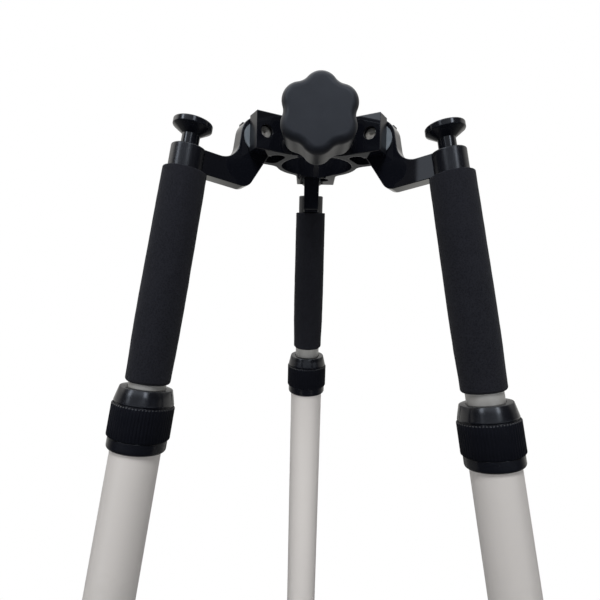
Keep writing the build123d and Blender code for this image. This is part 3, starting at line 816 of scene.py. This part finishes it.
def make_floor():
    """Pale floor that keeps the shadow under the tripod; in reflections it glows with a painted reflection, dark
    before it.
    """
    level = cad_box[0].z - FLOOR_GAP
    corners = [(x * FLOOR_HALF, y * FLOOR_HALF, level) for x, y in ((-1, -1), (1, -1), (1, 1), (-1, 1))]
    mesh = bpy.data.meshes.new("floor")
    mesh.from_pydata(corners, [], [(0, 1, 2, 3)])
    plane = bpy.data.objects.new("floor", mesh)
    bpy.context.scene.collection.objects.link(plane)
    finish = Finish("pale_floor", Roughness=0.9, Specular_IOR_Level=0.0)
    finish.wear(Base_Color=finish.blend(finish.grain(3, 4), *FLOOR_PAINT))
    mirror = finish.ray("Glossy")
    depth = finish.along(finish.place(), BACKWARD)
    side = finish.along(finish.place(), RIGHTWARD)
    aside = finish.ease(side * side, *ASIDE_SQUARED) * finish.ease(depth, *ASIDE_BEHIND)
    far = finish.ease(depth, *NEAR_TO_FAR).largest(aside)
    behind = finish.blend(far, NEAR_FLOOR_REFLECTION, FAR_FLOOR_REFLECTION)
    mirrored = finish.blend(finish.ease(depth, *FRONT_TO_NEAR), FRONT_FLOOR_REFLECTION, behind)
    shown = finish.blend(mirror, WHITE, mirrored)
    glow = finish.add("ShaderNodeEmission", {}, {"Color": shown, "Strength": 1.0})
    away = finish.ease(finish.from_axis((0, 0, 0), UPWARD), *SHADOW_FADE)
    seen = (finish.ray("Camera").largest(finish.ray("Transmission")) * away).largest(mirror)
    matt = Wire(finish, finish.shader.outputs[0])
    mixed = finish.add("ShaderNodeMixShader", {}, {0: seen, 1: matt, 2: glow})
    finish.feed(finish.tree.nodes["Material Output"].inputs["Surface"], mixed)
    mesh.materials.append(finish.material)


# Mirrored room: an edge goes from dark to lit, a strength carries two places to two values
ROOM_LIGHT = 0.12
ROOM_TINT = (1.0, 0.985, 0.96)
WINDOW_TINT = (0.80, 0.88, 1.0)
LEAST_DEPTH = 0.02
FRONT_EDGE = (0.0, -0.2)
LEFT_WINDOW = ((-1.46, -1.40), (-0.82, -0.95))
LEFT_STRENGTH = (0.37, 0.43, 1.9, 6.0)
SILL_EDGE = (0.2915, 0.2985)
SILL_TILT = 0.033
LOW_PANE_EDGE = (-1.075, -1.055)
LOW_PANE_STRENGTH = (0.0, 0.1, 0.0, 1.25)
RIGHT_WINDOW = ((0.28, 0.36), (0.60, 0.52))
RIGHT_STRENGTH = (0.33, 0.46, 0.4, 6.0)
RIGHT_LEAN = 3.0
LEAN_BELOW = 0.41
WALL_FOOT = (-0.085, -0.045)
WALL_SIDES = ((-0.95, -0.8), (0.75, 0.5))
WALL_STRENGTH = (0.42, 0.60, 0.3, 1.1)
LOW_WALL_SIDES = ((-2.4, -1.3), (2.4, 1.3))
LOW_WALL_STRENGTH = (0.13, 0.05, 0.0, 0.95)
WALL_TOP = (0.85, 0.65)
CEILING_STRENGTH = (0.6, 0.85, 0.0, 0.6)
SHADED_SHARE = 0.5
SHADED_SIDE = (0.2, 0.7)
SHADED_DEPTH = (0.9, 0.3)
ROOM_STRENGTH = (-0.25, 0.1, 0.16, 1.4)
ROOM_BACK = (0.25, 0.75, 1.0, 0.55)
ROOM_HEIGHT = (0.15, 0.6, 0.45, 1.2)
LOW_ROOM_TOP = (0.14, 0.04)
LOW_ROOM_STRENGTH = (-0.45, -0.1, 0.0, 0.65)
DARKEST = 0.01


def mirrored_room(nodes):
    """What the pieces mirror: a dim wall with two windows before them and a pale room behind,
    both lighter low down."""
    facing = nodes.add("ShaderNodeTexCoord", output="Generated")
    side = nodes.along(facing, RIGHTWARD)
    depth = nodes.along(facing, BACKWARD)
    height = nodes.along(facing, UPWARD)
    slope = side / (0 - depth).largest(LEAST_DEPTH)

    sill = nodes.ease(height + SILL_TILT * slope, *SILL_EDGE)
    low_pane = nodes.ease(slope, *LOW_PANE_EDGE) * nodes.ease(height, *LOW_PANE_STRENGTH)
    left = low_pane.largest(sill * nodes.ease(height, *LEFT_STRENGTH))
    left = nodes.between(slope, *LEFT_WINDOW) * left
    leaning = slope + RIGHT_LEAN * (LEAN_BELOW - height).largest(0.0)
    right = nodes.between(leaning, *RIGHT_WINDOW) * nodes.ease(height, *RIGHT_STRENGTH)
    wall = nodes.between(slope, *WALL_SIDES) * nodes.ease(height, *WALL_STRENGTH)
    low_wall = nodes.between(slope, *LOW_WALL_SIDES) * nodes.ease(height, *LOW_WALL_STRENGTH)
    wall = wall.largest(low_wall) * nodes.ease(height, *WALL_FOOT)
    before = nodes.ease(depth, *FRONT_EDGE) * nodes.ease(height, *WALL_TOP)
    bright = before * (left.largest(wall) + right) + nodes.ease(height, *CEILING_STRENGTH)

    shaded = nodes.ease(side, *SHADED_SIDE) * nodes.ease(depth, *SHADED_DEPTH)
    room = nodes.ease(depth, *ROOM_STRENGTH) * nodes.ease(depth, *ROOM_BACK)
    room = room * (1 - SHADED_SHARE * shaded) * nodes.ease(height, *ROOM_HEIGHT)
    low = nodes.ease(height, *LOW_ROOM_TOP) * nodes.ease(depth, *LOW_ROOM_STRENGTH)
    strength = bright + room.largest(low)
    return nodes.blend(bright / strength.largest(DARKEST), ROOM_TINT, WINDOW_TINT), strength


def make_world():
    """White to the eye, an even light for the surfaces and a room for reflections."""
    world = bpy.data.worlds.new("studio")
    world.use_nodes = True
    bpy.context.scene.world = world
    nodes = Nodes(world.node_tree)

    def light(colour, strength):
        inputs = {"Color": nodes.colour(colour), "Strength": strength}
        return nodes.add("ShaderNodeBackground", {}, inputs)

    surround = {0: nodes.ray("Glossy"), 1: light(WHITE, ROOM_LIGHT), 2: light(*mirrored_room(nodes))}
    lit = nodes.add("ShaderNodeMixShader", {}, surround)
    seen = nodes.ray("Camera").largest(nodes.ray("Transmission"))
    last = nodes.add("ShaderNodeMixShader", {}, {0: seen, 1: lit, 2: light(WHITE, 1.0)})
    nodes.feed(world.node_tree.nodes["World Output"].inputs["Surface"], last)


# Lamps: place, point they face, width and height in metres, radiance
LAMPS = {
    "left_lamp": ((-0.5, -0.45, -0.35), (-0.15, -0.08, -0.35), 0.2, 1.0, 2.0),
    "right_lamp": ((0.5, -0.45, -0.35), (0.15, -0.08, -0.35), 0.2, 1.0, 1.45),
    "high_lamp": ((-0.05, -0.65, 0.6), (0, 0.05, -0.15), 0.3, 0.3, 20.0),
    "rear_lamp": ((0, -0.02, -0.42), (0, 0.3, -0.42), 0.3, 0.5, 0.37),
    "back_lamp": ((0, 1.5, -0.1), (0, 0, -0.3), 0.9, 1.2, 3.0),
}


def softbox(name, place, aim, width, height, radiance):
    """White rectangular lamp facing a point, left out of reflections."""
    data = bpy.data.lights.new(name, "AREA")
    data.shape = "RECTANGLE"
    data.size = width
    data.size_y = height
    data.energy = radiance * pi * width * height
    lamp = bpy.data.objects.new(name, data)
    bpy.context.scene.collection.objects.link(lamp)
    turn = (Vector(aim) - Vector(place)).to_track_quat("-Z", "Y").to_matrix().to_4x4()
    lamp.matrix_world = Matrix.Translation(place) @ turn
    lamp.visible_camera = False
    lamp.visible_glossy = False


make_floor()
make_world()
for name, lamp in LAMPS.items():
    softbox(name, *lamp)

bpy.context.scene.view_settings.view_transform = "Standard"
